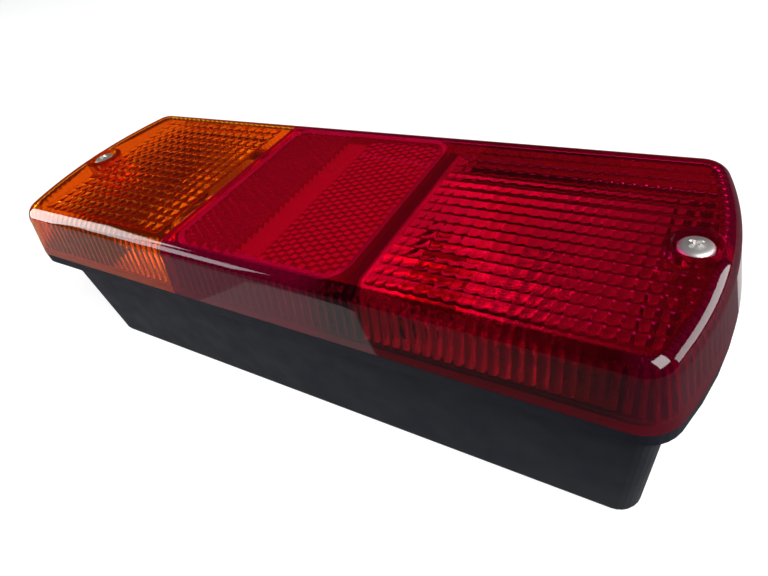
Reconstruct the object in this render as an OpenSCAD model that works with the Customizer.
// Rear lamp cluster: an amber indicator window welded to a red stop, tail and reflex window.
// The lamp lies on its flat back with the lens up. X runs along the lamp towards the red end,
// Y across it and Z out of the lens.
// The origin is on the back face, midway between the two lens screws.

/* [Lens] */
// Length of the lens at the top of its side wall, over the bulge of both ends
lens_len = 238.4; // [236:0.2:250]
// Width of the lens at the top of its side wall
lens_w = 80; // [78:0.5:90]
// How far each end bulges beyond its corners
end_bulge = 7.5; // [5:0.5:10]
// Plan radius of the lens corners
lens_corner_r = 8; // [6:0.5:12]
// Height of the lens above the housing rim
lens_h = 18.5; // [17:0.5:24]
// Radius between the lens face and its side wall
crown_r = 6; // [4.5:0.5:7]
// How far the side wall leans out from the crown down to the rim
wall_lean = 2.2; // [1.6:0.1:2.6]
// Thickness of the lens face and wall
lens_t = 3; // [2.4:0.1:3.4]
// Thickness of the plain foot that the lens stands on
foot_t = 4; // [3.6:0.1:4.2]
// Height of that foot
foot_h = 1.5; // [1:0.5:4]
// How far the seam of the two windows is from the middle, as a percentage of the lens length
seam_share = 13.84; // [12.5:0.02:15]

/* [Optics] */
// Pitch of the pillow optics
cell = 3.94; // [3.5:0.02:5]
// Pitch of the narrow columns beside the tail window
fine_cell = 2.84; // [2.5:0.02:3.2]
// Percentage of the pillows' length in the stop and tail windows that the stop window takes
stop_part = 51; // [40:1:60]
// Height of one pillow
pillow_h = 0.5; // [0.4:0.1:1.1]
// Plain border between the pillows and the long sides
side_border = 8; // [7:0.5:12]
// Plain border between the amber pillows and the lamp's end
end_border = 17; // [15:0.5:22]
// Plain border between the amber pillows and the seam
seam_border = 6; // [4:0.5:9]
// Plain border between the tail pillows and the lamp's end
tail_border = 11; // [10:0.5:16]
// Plain border between the tail wall and the stop window
stop_border = 11; // [8:0.5:12]
// Pitch of the upright flutes inside the side wall
flute_pitch = 2.84; // [2.4:0.02:4]
// Depth of those flutes
flute_d = 0.4; // [0.3:0.1:0.9]
// Pitch of the hexagonal reflex prisms
prism_pitch = 4.1; // [3.4:0.1:5]
// Plain strip between the reflex prisms and the walls beside them
reflex_margin = 3; // [2.5:0.5:6]
// Plain strip between the reflex prisms and the long sides
reflex_side = 6.5; // [6:0.5:12]
// Thickness of the plate welded behind the prisms
backing_t = 1.2; // [0.8:0.1:1.6]

/* [Housing] */
// Height of the housing, from its back to the rim that the lens stands on
housing_h = 43.5; // [42:0.5:50]
// Thickness of the rim flange
flange_t = 4.3; // [3:0.1:6]
// Thickness of the tub wall
tub_t = 2.5; // [2:0.1:3]
// Thickness of the tub floor
floor_t = 3; // [2.5:0.1:4]
// How far the tub stands in from the lens at the red end
tub_in_red = 4.7; // [4:0.1:6]
// How far the tub stands in from the lens at the amber end
tub_in_amber = 15.2; // [14.5:0.1:17]
// How far the tub stands in from the lens along the sides
tub_in_side = 1; // [0.8:0.1:1.4]
// How far the ends of the tub lean in from the flange to the back
end_draft = 3; // [2:0.1:4]
// How far the long sides of the tub lean in from the flange to the back
side_draft = 1.5; // [1:0.1:2.5]
// Plan radius of the tub corners
tub_corner_r = 6; // [5:0.5:9]
// Rounding between the tub walls and the back
back_r = 2; // [1:0.25:2.5]
// Thickness of the walls between the chambers
inner_wall_t = 2; // [1.5:0.1:2.5]
// How far the wall of the stop and tail chamber is from the middle, as a percentage of the lens length
tail_share = 14.68; // [13.5:0.02:15.5]

/* [Fixings] */
// Distance from each end of the lens to its screw
screw_in = 9.2; // [8.5:0.1:10.5]
// Thread diameter of the lens screws
screw_d = 4; // [3.5:0.1:4.5]
// Head diameter of the lens screws
head_d = 8; // [7:0.1:8.6]
// Head height of the lens screws
head_h = 2.4; // [2:0.1:2.8]
// Thickness of the sealing washer under each head
seal_t = 0.8; // [0.6:0.1:1.2]
// How far a screw goes into its boss
screw_grip = 12; // [8:0.5:14]
// Diameter of the lens post round each screw
post_d = 14.4; // [13.6:0.2:15]
// Distance between the two mounting holes in the back, across the lamp
mount_span = 45; // [40:1:50]
// Diameter of the mounting holes
mount_d = 5.5; // [4.5:0.1:6.5]

/* [Lighting] */
// Height of the bulbs' axis above the back
bulb_z = 28; // [27:0.5:29]
// Diameter of the bulb's glass
globe_d = 26.5; // [24:0.5:27]
// Diameter of the bulb's metal cap
cap_d = 15; // [14.6:0.1:15.4]
// Length of the bulb's metal cap
cap_len = 17; // [15:0.5:19]
// Length of the bulb, over its contacts
bulb_len = 52.5; // [50:0.5:54]
// Thickness of the pressed brass parts
brass_t = 0.8; // [0.5:0.1:1]
// Height of the lowest point of the reflectors above the back
trough_z = 5.5; // [5:0.25:7]
// Thickness of the reflector sheet
reflector_t = 0.8; // [0.6:0.1:1.2]
// Gap between the reflectors and the long walls of the tub, at the flange
trough_side_gap = 0.7; // [0.5:0.1:3]
// How far the edges of the reflectors stay below the rim of the housing
trough_rim_gap = 2.2; // [1.8:0.1:6]

/* [Wiring] */
// Gap between the terminal block and the upright strips at its ends
block_gap = 5; // [3.5:0.5:7]
// Width of the terminal block
block_w = 16; // [14:0.5:16]
// Height of the terminal block
block_h = 10; // [8:0.5:12]
// Diameter of the cable entry in the back long side
entry_d = 11; // [8:0.5:13]
// Diameter of the cable that the grommet takes
cable_d = 7; // [4:0.5:8]
// Place of the cable entry along the lamp
entry_x = 18; // [10:1:22]

/* [Hidden] */
$fn = 48;

// Small lengths used all over
slide = 0.05;
over = 1;
weld = 0.5;
relief_sink = 0.1;

// Heights
top_z = housing_h + lens_h;
crown_z = top_z - crown_r;
inner_top_z = top_z - lens_t;
foot_z = housing_h + foot_h;
flange_z = housing_h - flange_t;

// Plans are [half length towards amber, half length towards red, half width, end bulge, corner radius]
lens_plan = [lens_len / 2, lens_len / 2, lens_w / 2, end_bulge, lens_corner_r];
tub_bulge = 2;
plain_counts = [1, 6, 8];

// Lens screws and their posts
screw_x = lens_len / 2 - screw_in;
boss_wall = 2.5;
boss_d = screw_d + 2 * boss_wall;
recess_gap = 1.5;
recess_d = head_d + 2 * recess_gap;
head_sink = 0.2;
head_z = top_z - head_sink - head_h;
seat_z = head_z - seal_t;
shank_gap = 0.3;

// Walls between the chambers, and the way that each bulb points
seam_x = -lens_len * seam_share / 100;
tail_wall_x = lens_len * tail_share / 100;
seam_wall_x = seam_x - inner_wall_t / 2;
tail_wall_out = tail_wall_x + inner_wall_t / 2;
wall_top_gap = 1.2;
wall_side_gap = 1.2;

// Bulb holder, measured along the bulb from the chamber side of its wall
sleeve_gap = 0.25;
sleeve_r = cap_d / 2 + sleeve_gap;
sleeve_front = 5;
sleeve_back = -12;
holder_wall = 0.6;
holder_r = sleeve_r + holder_wall;
rivet_r = 1.5;
rivet_gap = 1.35;
rivet_y = holder_r + rivet_r + rivet_gap;
holder_rim = 1.3;
holder_flange_r = rivet_y + rivet_r + holder_rim;
pin_r = 1;
pin_at = 3.2;
pin_reach = 1.1;
slot_w = 2.4;
sleeve_lip = 2.15;
lip_r = sleeve_r - sleeve_lip;
cap_end = -3.5;
solder_h = 0.7;
contact_face = cap_end - solder_h;
button_h = 0.8;
disc_front = contact_face - button_h;
disc_t = 1.5;
disc_back = disc_front - disc_t;
lip_face = sleeve_back + holder_wall;
stem_end = -14;
stem_r = 0.9;
twin_y = 3.2;

// Wiring
strip_t = 0.5;
block_z = floor_t;
block_top = block_z + block_h;
block_l = 2 * (min(-seam_wall_x, tail_wall_out) + stem_end - block_gap);
terminal_end = 4.5;
terminal_x = block_l / 2 - terminal_end;
feed_w = 5;
twin_feed_w = 4;
earth_terminal_y = 3.5;
terminal_screw_r = 1.25;
terminal_screw_foot = 4;
terminal_head_r = 2.2;
terminal_head_h = 1.5;
washer_t = 0.5;
washer_w = 4.8;

// Sealing groove in the rim
groove_d = 1.5;
groove_out = 1.2;
groove_in = -1.6;

// Pillow windows
amber_x0 = -lens_len / 2 + end_border;
amber_cols = floor((seam_x - seam_border - amber_x0) / cell);
pillow_rows = floor((lens_w - 2 * side_border) / cell);
stop_x0 = tail_wall_x + stop_border;
last_cols = 2;
tail_end = lens_len / 2 - tail_border;
stop_cols = round((tail_end - stop_x0) * stop_part / 100 / cell);
tail_x0 = stop_x0 + stop_cols * cell;
tail_cols = floor((tail_end - last_cols * cell - tail_x0) / fine_cell);
last_x0 = tail_x0 + tail_cols * fine_cell;

// Reflex prisms. The corners of a cube seen along its diagonal make a lattice with three heights.
reflex_x0 = seam_x + reflex_margin;
reflex_x1 = tail_wall_x - reflex_margin;
reflex_mid = (reflex_x0 + reflex_x1) / 2;
reflex_l = reflex_x1 - reflex_x0;
reflex_w = lens_w - 2 * reflex_side;
reflex_r = 5;
prism_s = prism_pitch / sqrt(3);
prism_step = prism_s / sqrt(2);
frame_t = 1.5;
frame_z = inner_top_z - relief_sink - 2 * prism_step - 0.4;

// Reflectors
trough_r = lens_w / 2 - tub_in_side - tub_t - reflector_t - trough_side_gap;
trough_axis = trough_z + reflector_t + trough_r;
trough_top = housing_h - trough_rim_gap;
tub_inner_amber = lens_len / 2 - tub_in_amber - end_draft - tub_t;
far_gap = 1.5;
plate_drop = 5.7;
plate_top = bulb_z - plate_drop;
indicator_far = tub_inner_amber - far_gap;
stop_far = screw_x - boss_d / 2 - far_gap;
reflector_gap = 0.6;
indicator_near = seam_wall_x - reflector_gap;
stop_near = tail_wall_out + reflector_gap;
lining_inset = 0.5;
lining_hole_r = holder_flange_r + 1;
rib_reach = 0.8;
rib_rise = 0.4;
fix_from_end = 7;
fix_r = 1.4;
fix_head_r = 2.8;
fix_head_h = 1.6;
fix_boss_r = 3.5;
fix_hole_z = 1;
fix_end_z = 1.5;

// Bosses round the mounting holes
mount_boss_h = 3;
mount_boss_wall = 2;

// Cable entry
entry_z = 15;
entry_boss_wall = 3.5;
entry_pad = 4;
lip_t = 1.6;
lip_reach = 1.8;

// Points of a plan outline

function end_r(p) = (p[2] * p[2] + p[3] * p[3]) / (2 * p[3]);
function end_k(p) = sqrt(pow(end_r(p) - p[4], 2) - pow(p[2] - p[4], 2));
function end_phi(p) = atan2(p[2] - p[4], end_k(p));

// One round stretch, without its last point. Every second point is drawn in by depth.
function arc_run(c, r, a0, a1, n, d, depth) = [
    for (i = [0:n - 1])
        let (a = a0 + (a1 - a0) * i / n)
        c + (r + d - (i % 2) * depth) * [cos(a), sin(a)]
];

// One straight stretch along a long side, without its last point
function side_run(x0, x1, y, n, d, depth) = [
    for (i = [0:n - 1])
        [x0 + (x1 - x0) * i / n, y + sign(y) * (d - (i % 2) * depth)]
];

// The whole outline, anticlockwise, moved outwards by d
function ring(p, d, counts = plain_counts, depth = 0) =
    let (
        phi = end_phi(p),
        end_a = p[0] - end_r(p),
        end_b = p[1] - end_r(p),
        corner_a = -end_a - end_k(p),
        corner_b = end_b + end_k(p),
        y = p[2] - p[4]
    )
    concat(
        side_run(corner_a, corner_b, -p[2], counts[0], d, depth),
        arc_run([corner_b, -y], p[4], -90, -phi, counts[1], d, depth),
        arc_run([end_b, 0], end_r(p), -phi, phi, counts[2], d, depth),
        arc_run([corner_b, y], p[4], phi, 90, counts[1], d, depth),
        side_run(corner_b, corner_a, p[2], counts[0], d, depth),
        arc_run([corner_a, y], p[4], 90, 180 - phi, counts[1], d, depth),
        arc_run([-end_a, 0], end_r(p), 180 - phi, 180 + phi, counts[2], d, depth),
        arc_run([corner_a, -y], p[4], 180 + phi, 270, counts[1], d, depth)
    );

// Even numbers of steps that give the flute pitch on the straight, corner and end stretches
function even_steps(run) = 2 * max(1, round(run / flute_pitch));
function flute_counts(p) =
    let (phi = end_phi(p))
    [
        even_steps(p[0] + p[1] - 2 * (end_r(p) - end_k(p))),
        even_steps(p[4] * (90 - phi) * PI / 180),
        even_steps(end_r(p) * 2 * phi * PI / 180)
    ];

// A closed solid through rings of equally many points, each given as [points, height]
module loft(rings) {
    n = len(rings[0][0]);
    m = len(rings);
    points = [for (g = rings) for (p = g[0]) [p[0], p[1], g[1]]];
    floor_face = [[for (i = [0:n - 1]) i]];
    roof_face = [[for (i = [n - 1:-1:0]) (m - 1) * n + i]];
    side_faces = [
        for (j = [0:m - 2])
            for (i = [0:n - 1])
                let (k = (i + 1) % n, a = j * n, b = a + n)
                each [[a + i, b + i, b + k], [a + i, b + k, a + k]]
    ];
    polyhedron(points, concat(floor_face, roof_face, side_faces));
}

// A slab whose underside carries a relief: points on a lattice, sunk by what drop(i, j) says
module relief(origin, u, v, nu, nv, z, back, drop, cross) {
    row = nu + 1;
    grid = [
        for (j = [0:nv])
            for (i = [0:nu])
                let (q = origin + i * u + j * v)
                [q[0], q[1], z - drop(i, j)]
    ];
    ends = [origin, origin + nu * u, origin + nu * u + nv * v, origin + nv * v];
    roof = [for (q = ends) [q[0], q[1], z + back]];
    r = len(grid);
    under = [
        for (j = [0:nv - 1])
            for (i = [0:nu - 1])
                let (a = j * row + i, b = a + 1, c = a + row + 1, d = a + row)
                each (cross(i, j) ? [[a, b, d], [b, c, d]] : [[a, b, c], [a, c, d]])
    ];
    sides = [
        concat([for (i = [nu:-1:0]) i], [r, r + 1]),
        concat([for (j = [nv:-1:0]) j * row + nu], [r + 1, r + 2]),
        concat([for (i = [0:nu]) nv * row + i], [r + 2, r + 3]),
        concat([for (j = [0:nv]) j * row], [r + 3, r])
    ];
    polyhedron(concat(grid, roof), concat(under, sides, [[r + 3, r + 2, r + 1, r]]));
}

// A window of pillows: each cell is a low dome that meets its neighbours in valleys
module pillows(x0, cols, pitch) {
    width = pillow_rows * cell;
    relief([x0, -width / 2], [pitch / 2, 0], [0, cell / 2], 2 * cols, 2 * pillow_rows,
        inner_top_z - relief_sink, weld,
        function (i, j) pillow_h * ((i % 2) + (j % 2)) / 2,
        function (i, j) (i + j) % 2 == 1);
}

// Rounded rectangle with true arcs, centred
module rounded(l, w, r, h, $fn = 24) {
    linear_extrude(h) {
        square([l - 2 * r, w], center = true);
        square([l, w - 2 * r], center = true);
        for (x = [-1, 1])
            for (y = [-1, 1])
                translate([x * (l / 2 - r), y * (w / 2 - r)])
                    circle(r);
    }
}

// Hexagonal corner prisms of the reflex reflector, which run a little way into their frame
module prisms() {
    grow = frame_t / 2;
    long = reflex_l + 2 * grow;
    wide = reflex_w + 2 * grow;
    rows = ceil(wide / (prism_s * sqrt(3) / 2));
    lean = rows * prism_s / 2;
    cols = ceil((long + lean) / prism_s);
    intersection() {
        relief([reflex_x0 - grow - lean, -wide / 2 - slide], [prism_s, 0], [prism_s / 2, prism_s * sqrt(3) / 2],
            cols, rows, inner_top_z - relief_sink, weld,
            function (i, j) prism_step * ((i - j + 3 * rows) % 3),
            function (i, j) true);
        translate([reflex_mid, 0, inner_top_z - 2 * prism_step - over])
            rounded(long, wide, reflex_r + grow, 2 * prism_step + over + 2 * weld);
    }
}

// Outside of the lens: drafted wall and a quarter-round crown
module lens_outside() {
    loft(concat(
        [[ring(lens_plan, wall_lean), housing_h]],
        [for (a = [0:18:90]) [ring(lens_plan, -crown_r * (1 - cos(a))), crown_z + crown_r * sin(a)]]
    ));
}

// Space inside the lens above its foot, with the upright flutes cut into its wall
module lens_inside() {
    counts = flute_counts(lens_plan);
    inner_r = crown_r - lens_t;
    low = wall_lean * (crown_z - foot_z) / (crown_z - housing_h);
    loft([
        [ring(lens_plan, low - lens_t, counts, flute_d), foot_z],
        [ring(lens_plan, -lens_t, counts, flute_d), crown_z + inner_r / 3],
        [ring(lens_plan, -lens_t - inner_r * 2 / 3, counts, flute_d), inner_top_z]
    ]);
}

// Space inside the plain foot
module foot_inside() {
    loft([
        [ring(lens_plan, wall_lean - foot_t), housing_h - over],
        [ring(lens_plan, wall_lean - foot_t), foot_z + 0.01]
    ]);
}

module at_screws() {
    for (x = [-screw_x, screw_x])
        translate([x, 0, 0])
            children();
}

// Whole moulding before it is divided into the amber and the red window
module lens_blank() {
    difference() {
        union() {
            difference() {
                lens_outside();
                lens_inside();
                foot_inside();
            }
            pillows(amber_x0, amber_cols, cell);
            pillows(stop_x0, stop_cols, cell);
            pillows(tail_x0, tail_cols, fine_cell);
            pillows(last_x0, last_cols, cell);
            prisms();
            intersection() {
                at_screws()
                    translate([0, 0, housing_h])
                        cylinder(h = lens_h, d = post_d, $fn = 32);
                lens_outside();
            }
            translate([reflex_mid, 0, frame_z])
                difference() {
                    rounded(reflex_l + 2 * frame_t, reflex_w + 2 * frame_t, reflex_r + frame_t,
                        inner_top_z - frame_z + weld);
                    translate([0, 0, -over])
                        rounded(reflex_l, reflex_w, reflex_r, inner_top_z - frame_z + over);
                }
        }
        at_screws() {
            translate([0, 0, seat_z])
                cylinder(h = lens_h, d = recess_d);
            translate([0, 0, housing_h - over])
                cylinder(h = lens_h, d = screw_d + 2 * shank_gap);
        }
    }
}

// One window of the moulding: side is -1 for amber and 1 for red. It is held to its stated height.
module lens_half(side) {
    reach = lens_len;
    translate([0, 0, housing_h])
        resize([0, 0, lens_h])
            translate([0, 0, -housing_h])
                intersection() {
                    lens_blank();
                    translate([side > 0 ? seam_x : seam_x - reach, -lens_w, 0])
                        cube([reach, 2 * lens_w, top_z + over]);
                }
}

module lens_amber() {
    color("darkorange")
        lens_half(-1);
}

module lens_red() {
    color("crimson")
        lens_half(1);
}

// Plate that seals the air gap behind the prisms
module reflex_backing() {
    color("maroon")
        translate([reflex_mid, 0, frame_z - backing_t])
            rounded(reflex_l + 2 * frame_t, reflex_w + 2 * frame_t, reflex_r + frame_t, backing_t);
}

// Tub outline at a height, which leans in towards the back
function lean_in(z) = 1 - min(z, flange_z) / flange_z;
function tub_half_w(z) = lens_w / 2 - tub_in_side - side_draft * lean_in(z);
function tub_red_x(z) = lens_len / 2 - tub_in_red - end_draft * lean_in(z);
function tub_amber_x(z) = lens_len / 2 - tub_in_amber - end_draft * lean_in(z);
function tub_plan(z) = [tub_amber_x(z), tub_red_x(z), tub_half_w(z), tub_bulge, tub_corner_r];

module tub_outside(top) {
    loft(concat(
        [for (a = [90:-30:0]) let (z = back_r * (1 - sin(a)))
            [ring(tub_plan(z), -back_r * (1 - cos(a))), z]],
        [[ring(tub_plan(flange_z), 0), flange_z], [ring(tub_plan(flange_z), 0), top]]
    ));
}

module tub_inside() {
    loft([
        [ring(tub_plan(floor_t), -tub_t - over), floor_t],
        [ring(tub_plan(floor_t + over), -tub_t), floor_t + over],
        [ring(tub_plan(flange_z), -tub_t), flange_z],
        [ring(tub_plan(flange_z), -tub_t), housing_h + over]
    ]);
}

module flange() {
    edge = 0.6;
    loft([
        [ring(lens_plan, wall_lean - edge), flange_z],
        [ring(lens_plan, wall_lean), flange_z + edge],
        [ring(lens_plan, wall_lean), housing_h]
    ]);
}

// Straight-sided ring between two offsets of the lens plan
module plan_band(d_in, d_out, h) {
    linear_extrude(h)
        difference() {
            polygon(ring(lens_plan, d_out));
            polygon(ring(lens_plan, d_in));
        }
}

// Right half of what stands under the lens, from a height up, its corner following the crown
function crest(z, inset) =
    let (
        half_w = lens_w / 2 - lens_t - flute_d - wall_side_gap - inset,
        top = inner_top_z - pillow_h - wall_top_gap - inset,
        cut = crown_r - lens_t + wall_side_gap
    )
    [[half_w, z], [half_w, top - cut], [half_w - cut, top]];

// An outline made whole from its right half
function both_halves(half) = concat(half, [for (i = [len(half) - 1:-1:0]) [-half[i][0], half[i][1]]]);

// Wall across the tub that rises close under the lens
module chamber_wall(x) {
    rim_w = tub_half_w(flange_z) - tub_t / 2;
    foot = [
        [tub_half_w(0) - tub_t / 2, floor_t - weld], [rim_w, flange_z], [rim_w, housing_h - groove_d]
    ];
    translate([x - inner_wall_t / 2, 0, 0])
        rotate([90, 0, 90])
            linear_extrude(inner_wall_t)
                polygon(both_halves(concat(foot, crest(housing_h - groove_d, 0))));
}

// Rib under a reflector, its top hollowed to the trough
module trough_rib(x) {
    rib_t = 1.6;
    half_w = trough_r * rib_reach;
    rib_top = trough_z + trough_r * rib_rise;
    translate([x - rib_t / 2, 0, 0])
        difference() {
            translate([0, -half_w, floor_t - weld])
                cube([rib_t, 2 * half_w, rib_top - floor_t]);
            translate([-over, 0, trough_axis])
                rotate([0, 90, 0])
                    cylinder(h = rib_t + 2 * over, r = trough_r + reflector_t, $fn = 96);
        }
}

// Places along the lamp where each reflector is fixed
indicator_fix_x = -(indicator_far - fix_from_end);
stop_fix_x = stop_far - fix_from_end;

// Boss for the lens screw at the red end, trimmed to the slope of the end wall
module red_end_boss() {
    intersection() {
        translate([screw_x, 0, floor_t - weld])
            cylinder(h = housing_h - floor_t + weld, d = boss_d);
        translate([0, boss_d, 0])
            rotate([90, 0, 0])
                linear_extrude(2 * boss_d)
                    polygon([
                        [0, 0], [tub_red_x(0) - tub_t / 2, 0], [tub_red_x(flange_z), flange_z],
                        [tub_red_x(flange_z), housing_h], [0, housing_h]
                    ]);
    }
}

module housing() {
    rib_in = 12;
    boss_foot = 3;
    web_t = 3;
    web_end = screw_x - tub_inner_amber - end_draft + 1;
    boss_bottom = housing_h - screw_grip - boss_foot;
    hole_spare = 1;
    color("dimgray")
        difference() {
            union() {
                difference() {
                    union() {
                        tub_outside(housing_h);
                        flange();
                    }
                    tub_inside();
                }
                for (x = [seam_x, tail_wall_x])
                    chamber_wall(x);
                for (x = [-indicator_far + rib_in, seam_wall_x - rib_in, tail_wall_out + rib_in, stop_far - rib_in])
                    trough_rib(x);
                for (x = [indicator_fix_x, stop_fix_x])
                    translate([x, 0, floor_t - weld])
                        cylinder(h = trough_z - floor_t + weld, r = fix_boss_r);
                red_end_boss();
                translate([-screw_x, 0, boss_bottom])
                    cylinder(h = housing_h - boss_bottom, d = boss_d);
                translate([-screw_x, -web_t / 2, boss_bottom])
                    cube([web_end, web_t, flange_z + weld - boss_bottom]);
                for (y = [-mount_span / 2, mount_span / 2])
                    translate([0, y, floor_t - weld])
                        cylinder(h = mount_boss_h + weld, d = mount_d + 2 * mount_boss_wall);
                translate([entry_x, entry_inner_face, entry_z])
                    rotate([-90, 0, 0])
                        cylinder(h = entry_face - entry_inner_face + slide, d = entry_d + 2 * entry_boss_wall);
            }
            // Groove for the gasket
            translate([0, 0, housing_h - groove_d])
                plan_band(groove_in, groove_out, groove_d + over);
            // Lens screw holes
            at_screws()
                translate([0, 0, housing_h - screw_grip - hole_spare])
                    cylinder(h = screw_grip + hole_spare + over, d = screw_d);
            // Mounting holes
            for (y = [-mount_span / 2, mount_span / 2])
                translate([0, y, -over])
                    cylinder(h = floor_t + mount_boss_h + 2 * over, d = mount_d);
            // Bulb holder and rivet openings
            for (x = [seam_x, tail_wall_x])
                translate([x - inner_wall_t, 0, bulb_z])
                    rotate([0, 90, 0]) {
                        cylinder(h = 2 * inner_wall_t, r = holder_r + slide);
                        for (y = [-rivet_y, rivet_y])
                            translate([0, y, 0])
                                cylinder(h = 2 * inner_wall_t, r = rivet_r + slide);
                    }
            // Reflector screw holes
            for (x = [indicator_fix_x, stop_fix_x])
                translate([x, 0, fix_hole_z])
                    cylinder(h = trough_z, r = fix_r);
            // Cable entry
            translate([entry_x, lens_w / 2 - tub_in_side - entry_pad - over, entry_z])
                rotate([-90, 0, 0])
                    cylinder(h = entry_pad + 3 * over, d = entry_d);
            translate([entry_x, entry_face, entry_z])
                rotate([-90, 0, 0])
                    cylinder(h = entry_pad, d = entry_d + 2 * lip_reach + over);
        }
}

// Outer and inner faces that the grommet grips, flat although the wall leans
entry_face = lens_w / 2 - tub_in_side - side_draft;
entry_inner_face = lens_w / 2 - tub_in_side - entry_pad;

module lens_gasket() {
    color("black")
        translate([0, 0, housing_h - groove_d])
            plan_band(groove_in, groove_out, groove_d);
}

// Pan head screw with a cross recess, its head seat at height 0
module pan_screw(shank, l) {
    cross_w = 1.1;
    cross_l = head_d * 0.56;
    cross_h = head_h * 0.62;
    edge = 0.9;
    crown = head_d * 0.9;
    difference() {
        union() {
            intersection() {
                cylinder(h = head_h, d = head_d);
                translate([0, 0, head_h - crown])
                    sphere(r = crown, $fn = 64);
                translate([0, 0, head_h - edge - head_d / 2])
                    sphere(d = head_d + 2 * edge, $fn = 64);
            }
            translate([0, 0, -l])
                cylinder(h = l + 0.01, r = shank);
        }
        translate([0, 0, head_h - cross_h / 2 + 0.01])
            for (a = [0, 90])
                rotate([0, 0, a])
                    cube([cross_l, cross_w, cross_h], center = true);
    }
}

module lens_screws() {
    color("silver")
        at_screws()
            translate([0, 0, head_z])
                pan_screw(screw_d / 2 - slide, head_z - housing_h + screw_grip);
}

module screw_seals() {
    color("black")
        at_screws()
            translate([0, 0, seat_z])
                difference() {
                    cylinder(h = seal_t, d = head_d + 0.8);
                    translate([0, 0, -over])
                        cylinder(h = seal_t + 2 * over, d = screw_d);
                }
}

// Outline of a trough seen along the lamp: a half circle with upright sides
module trough_outline(r) {
    translate([0, trough_axis]) {
        circle(r, $fn = 96);
        translate([-r, 0])
            square([2 * r, trough_r]);
    }
}

// The part of an outline that lies below a height, drawn out along the lamp
module trough_part(x, l, top) {
    translate([x, 0, 0])
        rotate([90, 0, 90])
            linear_extrude(l)
                intersection() {
                    children();
                    translate([-lens_w, 0])
                        square([2 * lens_w, top]);
                }
}

// Upright plate that lines the wall behind the bulb and lets the flange of the holder through
module lining(x) {
    difference() {
        union() {
            trough_part(x, reflector_t, trough_top)
                trough_outline(trough_r + reflector_t / 2);
            trough_part(x, reflector_t, top_z)
                polygon(both_halves(crest(trough_top - 2 * weld, lining_inset)));
        }
        translate([x - over, 0, bulb_z])
            rotate([0, 90, 0])
                cylinder(h = reflector_t + 2 * over, r = lining_hole_r);
    }
}

// Pressed trough with an upright plate at each end: high behind the bulb, low at the lamp's end
module reflector(x0, x1, lining_x, plate_x, fix_x) {
    difference() {
        union() {
            trough_part(x0, x1 - x0, trough_top)
                difference() {
                    trough_outline(trough_r + reflector_t);
                    trough_outline(trough_r);
                }
            trough_part(plate_x, reflector_t, plate_top)
                trough_outline(trough_r + reflector_t / 2);
            lining(lining_x);
        }
        translate([fix_x, 0, 0])
            cylinder(h = trough_axis, r = fix_r + 4 * slide);
        translate([fix_x, 0, trough_z + reflector_t])
            cylinder(h = trough_axis, r = fix_head_r + 4 * slide);
    }
}

module indicator_reflector() {
    color("gainsboro")
        reflector(-indicator_far, indicator_near, indicator_near - reflector_t, -indicator_far, indicator_fix_x);
}

module stop_tail_reflector() {
    color("gainsboro")
        reflector(stop_near, stop_far, stop_near, stop_far - reflector_t, stop_fix_x);
}

module reflector_screws() {
    color("silver")
        for (x = [indicator_fix_x, stop_fix_x])
            translate([x, 0, trough_z + reflector_t])
                difference() {
                    union() {
                        cylinder(h = fix_head_h, r = fix_head_r);
                        translate([0, 0, fix_end_z - trough_z - reflector_t])
                            cylinder(h = trough_z + reflector_t - fix_end_z, r = fix_r - slide);
                    }
                    translate([0, 0, fix_head_h])
                        cube([2 * fix_head_r + over, 0.8, 1.4], center = true);
                }
}

// Stands a part on the chamber side of its wall, pointing away from the wiring space
module on_wall(side) {
    translate([side > 0 ? tail_wall_out : seam_wall_x, 0, bulb_z])
        rotate([0, side * 90, 0])
            children();
}

// Pressed bayonet sleeve with its riveting flange, back lip and two hooked slots
module holder() {
    slot_end = pin_at - pin_r - 1.2;
    turn = 28;
    difference() {
        union() {
            translate([0, 0, sleeve_back])
                cylinder(h = sleeve_front - sleeve_back, r = holder_r);
            intersection() {
                cylinder(h = brass_t, r = holder_flange_r);
                translate([-holder_r - 1, -holder_flange_r, -over])
                    cube([2 * holder_r + 2, 2 * holder_flange_r, brass_t + 2 * over]);
            }
        }
        translate([0, 0, lip_face])
            cylinder(h = sleeve_front - lip_face + over, r = sleeve_r);
        translate([0, 0, sleeve_back - over])
            cylinder(h = holder_wall + 2 * over, r = lip_r);
        for (y = [-rivet_y, rivet_y])
            translate([0, y, -over])
                cylinder(h = brass_t + 2 * over, r = rivet_r + slide);
        for (a = [0, 180])
            rotate([0, 0, a]) {
                translate([-slot_w / 2, sleeve_r - 1, slot_end])
                    cube([slot_w, holder_wall + 2, sleeve_front - slot_end + over]);
                rotate([0, 0, 90 - turn])
                    rotate_extrude(angle = turn)
                        translate([sleeve_r - 1, slot_end])
                            square([holder_wall + 2, slot_w]);
            }
    }
}

module indicator_bulb_holder() {
    color("goldenrod")
        on_wall(-1)
            holder();
}

module stop_tail_bulb_holder() {
    color("goldenrod")
        on_wall(1)
            holder();
}

// Rivets through the holder flange and the wall. The one on the earth side also holds the strip.
module holder_rivets() {
    head = 1;
    head_r = rivet_r + 1;
    color("silver")
        for (side = [-1, 1])
            for (y = [-rivet_y, rivet_y])
                on_wall(side)
                    translate([0, y, 0]) {
                        back = -inner_wall_t - (y > 0 ? brass_t : 0);
                        translate([0, 0, back - head])
                            cylinder(h = brass_t + 2 * head - back, r = rivet_r);
                        translate([0, 0, brass_t])
                            cylinder(h = head, r = head_r);
                        translate([0, 0, back - head])
                            cylinder(h = head, r = head_r);
                    }
}

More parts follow.
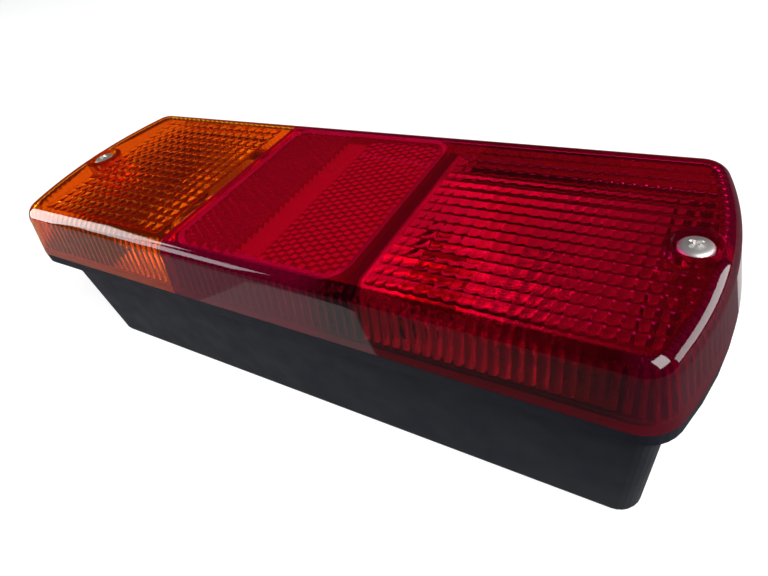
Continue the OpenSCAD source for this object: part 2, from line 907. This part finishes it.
// Sealed bulb: capped stem with two bayonet pins and a round globe.
// Contacts are the places across the cap where solder stands proud.
module bulb(contacts) {
    globe_r = globe_d / 2;
    globe_at = bulb_len + contact_face - globe_r;
    neck_r = cap_d / 2 - 0.8;
    neck_at = cap_end + cap_len;
    cross_at = globe_at - sqrt(globe_r * globe_r - neck_r * neck_r);
    blend = 5;
    translate([0, 0, cap_end])
        cylinder(h = cap_len, d = cap_d);
    for (y = contacts)
        translate([0, y, contact_face])
            cylinder(h = solder_h, r = 1.6);
    translate([0, 0, pin_at])
        rotate([90, 0, 0])
            cylinder(h = cap_d + 2 * pin_reach, r = pin_r, center = true);
    translate([0, 0, globe_at])
        sphere(r = globe_r, $fn = 64);
    translate([0, 0, neck_at])
        cylinder(h = cross_at - neck_at + 1, r = neck_r);
    translate([0, 0, cross_at - blend / 2])
        cylinder(h = blend / 2 + 1.6, r1 = neck_r, r2 = neck_r + 1.6);
}

module indicator_bulb() {
    color("lightcyan")
        on_wall(-1)
            bulb([0]);
}

module stop_tail_bulb() {
    color("lightcyan")
        on_wall(1)
            bulb([-twin_y, twin_y]);
}

// Fibre disc that carries the contacts inside the sleeve
module insulator(contacts) {
    translate([0, 0, disc_back])
        difference() {
            cylinder(h = disc_t, r = sleeve_r - 0.2);
            for (y = contacts)
                translate([0, y, -over])
                    cylinder(h = disc_t + 2 * over, r = stem_r + slide);
        }
}

module indicator_insulator() {
    color("saddlebrown")
        on_wall(-1)
            insulator([0]);
}

module stop_tail_insulator() {
    color("saddlebrown")
        on_wall(1)
            insulator([-twin_y, twin_y]);
}

// Button and stem that touch the solder of the bulb
module contact(y) {
    translate([0, y, disc_front])
        cylinder(h = button_h, r = 2);
    translate([0, y, stem_end])
        cylinder(h = disc_front - stem_end, r = stem_r);
}

module indicator_contact() {
    color("gold")
        on_wall(-1)
            contact(0);
}

module stop_tail_contacts() {
    color("gold")
        on_wall(1)
            for (y = [-twin_y, twin_y])
                contact(y);
}

// Compression spring between the back lip of the sleeve and the fibre disc
module spring() {
    wire_r = 0.35;
    coil_r = sleeve_r - 1;
    turns = 3;
    steps = 13;
    sides = 5;
    low = lip_face + wire_r;
    rise = disc_back - wire_r - low;
    count = turns * steps;
    points = [
        for (i = [0:count])
            let (a = 360 * i / steps, z = low + rise * i / count)
            for (k = [0:sides - 1])
                let (b = 360 * k / sides, r = coil_r + wire_r * cos(b))
                [r * cos(a), r * sin(a), z + wire_r * sin(b)]
    ];
    last = count * sides;
    polyhedron(points, concat(
        [[for (k = [sides - 1:-1:0]) k]],
        [[for (k = [0:sides - 1]) last + k]],
        [
            for (i = [0:count - 1])
                for (k = [0:sides - 1])
                    let (a = i * sides + k, b = i * sides + (k + 1) % sides)
                    each [[a, b + sides, a + sides], [a, b, b + sides]]
        ]
    ));
}

module indicator_spring() {
    color("gray")
        on_wall(-1)
            spring();
}

module stop_tail_spring() {
    color("gray")
        on_wall(1)
            spring();
}

// Places of the four terminals on the block: indicator, stop, tail and earth
terminals = [
    [-terminal_x, 0], [terminal_x, twin_y], [terminal_x, -twin_y], [0, earth_terminal_y]
];

module terminal_block() {
    grip_end = 4;
    grip_pitch = 5.5;
    grip_foot = 2;
    grip_r = 0.9;
    hole_foot = 3;
    color("ivory")
        difference() {
            translate([-block_l / 2, -block_w / 2, block_z])
                cube([block_l, block_w, block_h]);
            for (t = terminals)
                translate([t[0], t[1], block_z + hole_foot])
                    cylinder(h = block_h, r = terminal_screw_r);
            // Finger grips along the side
            for (x = [grip_end - block_l / 2:grip_pitch:block_l / 2 - grip_end + 1])
                translate([x, -block_w / 2, block_z + grip_foot])
                    cylinder(h = block_h, r = grip_r);
        }
}

module terminal_washers() {
    color("silver")
        for (t = terminals)
            translate([t[0], t[1], block_top + strip_t])
                difference() {
                    translate([-washer_w / 2, -washer_w / 2, 0])
                        cube([washer_w, washer_w, washer_t]);
                    translate([0, 0, -over])
                        cylinder(h = washer_t + 2 * over, r = terminal_screw_r + slide);
                }
}

module terminal_screws() {
    depth = block_h - terminal_screw_foot;
    color("silver")
        for (t = terminals)
            translate([t[0], t[1], block_top + strip_t + washer_t])
                difference() {
                    union() {
                        cylinder(h = terminal_head_h, r = terminal_head_r);
                        translate([0, 0, -depth])
                            cylinder(h = depth, r = terminal_screw_r - slide);
                    }
                    translate([0, 0, terminal_head_h])
                        cube([2 * terminal_head_r + over, 0.7, 1.2], center = true);
                }
}

// Flat brass strip from the end of a contact stem down to its terminal
module feed_strip(side, y, w) {
    stem_x = (side > 0 ? tail_wall_out : seam_wall_x) + side * stem_end;
    up_x = side > 0 ? stem_x - strip_t : stem_x;
    tab = terminal_x - washer_w / 2;
    reach = abs(stem_x) - tab;
    difference() {
        union() {
            translate([up_x, y - w / 2, block_top])
                cube([strip_t, w, bulb_z + w / 2 - block_top]);
            translate([side > 0 ? tab : stem_x, y - w / 2, block_top])
                cube([reach, w, strip_t]);
        }
        translate([side * terminal_x, y, block_top - over])
            cylinder(h = strip_t + 2 * over, r = terminal_screw_r + slide);
    }
}

module indicator_feed_strip() {
    color("gold")
        feed_strip(-1, 0, feed_w);
}

module stop_feed_strip() {
    color("gold")
        feed_strip(1, twin_y, twin_feed_w);
}

module tail_feed_strip() {
    color("gold")
        feed_strip(1, -twin_y, twin_feed_w);
}

// Brass strap that joins both holders to the earth terminal
module earth_strip() {
    w = 5.4;
    x0 = seam_x + inner_wall_t / 2;
    x1 = tail_wall_x - inner_wall_t / 2;
    top = bulb_z + w / 2;
    y0 = rivet_y - w / 2;
    tab_y = earth_terminal_y - washer_w / 2;
    color("gold")
        difference() {
            union() {
                for (x = [x0, x1 - brass_t])
                    translate([x, y0, floor_t])
                        cube([brass_t, w, top - floor_t]);
                translate([x0, y0, floor_t])
                    cube([x1 - x0, w, brass_t]);
                translate([-washer_w / 2, y0, floor_t])
                    cube([washer_w, strip_t, block_top - floor_t + strip_t]);
                translate([-washer_w / 2, tab_y, block_top])
                    cube([washer_w, y0 - tab_y + strip_t, strip_t]);
            }
            translate([0, earth_terminal_y, block_top - over])
                cylinder(h = strip_t + 2 * over, r = terminal_screw_r + slide);
            translate([x0 - over, rivet_y, bulb_z])
                rotate([0, 90, 0])
                    cylinder(h = x1 - x0 + 2 * over, r = rivet_r + slide);
        }
}

// Rubber bush that grips both faces of the wall at the cable entry
module cable_grommet() {
    lip_d = entry_d + 2 * lip_reach;
    grip = entry_face - entry_inner_face;
    color("black")
        translate([entry_x, entry_inner_face - lip_t, entry_z])
            rotate([-90, 0, 0])
                difference() {
                    union() {
                        cylinder(h = lip_t, d = lip_d);
                        cylinder(h = grip + 2 * lip_t, d = entry_d - 2 * slide);
                        translate([0, 0, lip_t + grip])
                            cylinder(h = lip_t, d1 = lip_d, d2 = lip_d - 1.5);
                    }
                    translate([0, 0, -over])
                        cylinder(h = grip + 2 * lip_t + 2 * over, d = cable_d);
                }
}

housing();
lens_gasket();
lens_amber();
lens_red();
reflex_backing();
lens_screws();
screw_seals();
indicator_reflector();
stop_tail_reflector();
reflector_screws();
indicator_bulb_holder();
stop_tail_bulb_holder();
holder_rivets();
indicator_bulb();
stop_tail_bulb();
indicator_insulator();
stop_tail_insulator();
indicator_spring();
stop_tail_spring();
indicator_contact();
stop_tail_contacts();
terminal_block();
terminal_screws();
terminal_washers();
indicator_feed_strip();
stop_feed_strip();
tail_feed_strip();
earth_strip();
cable_grommet();
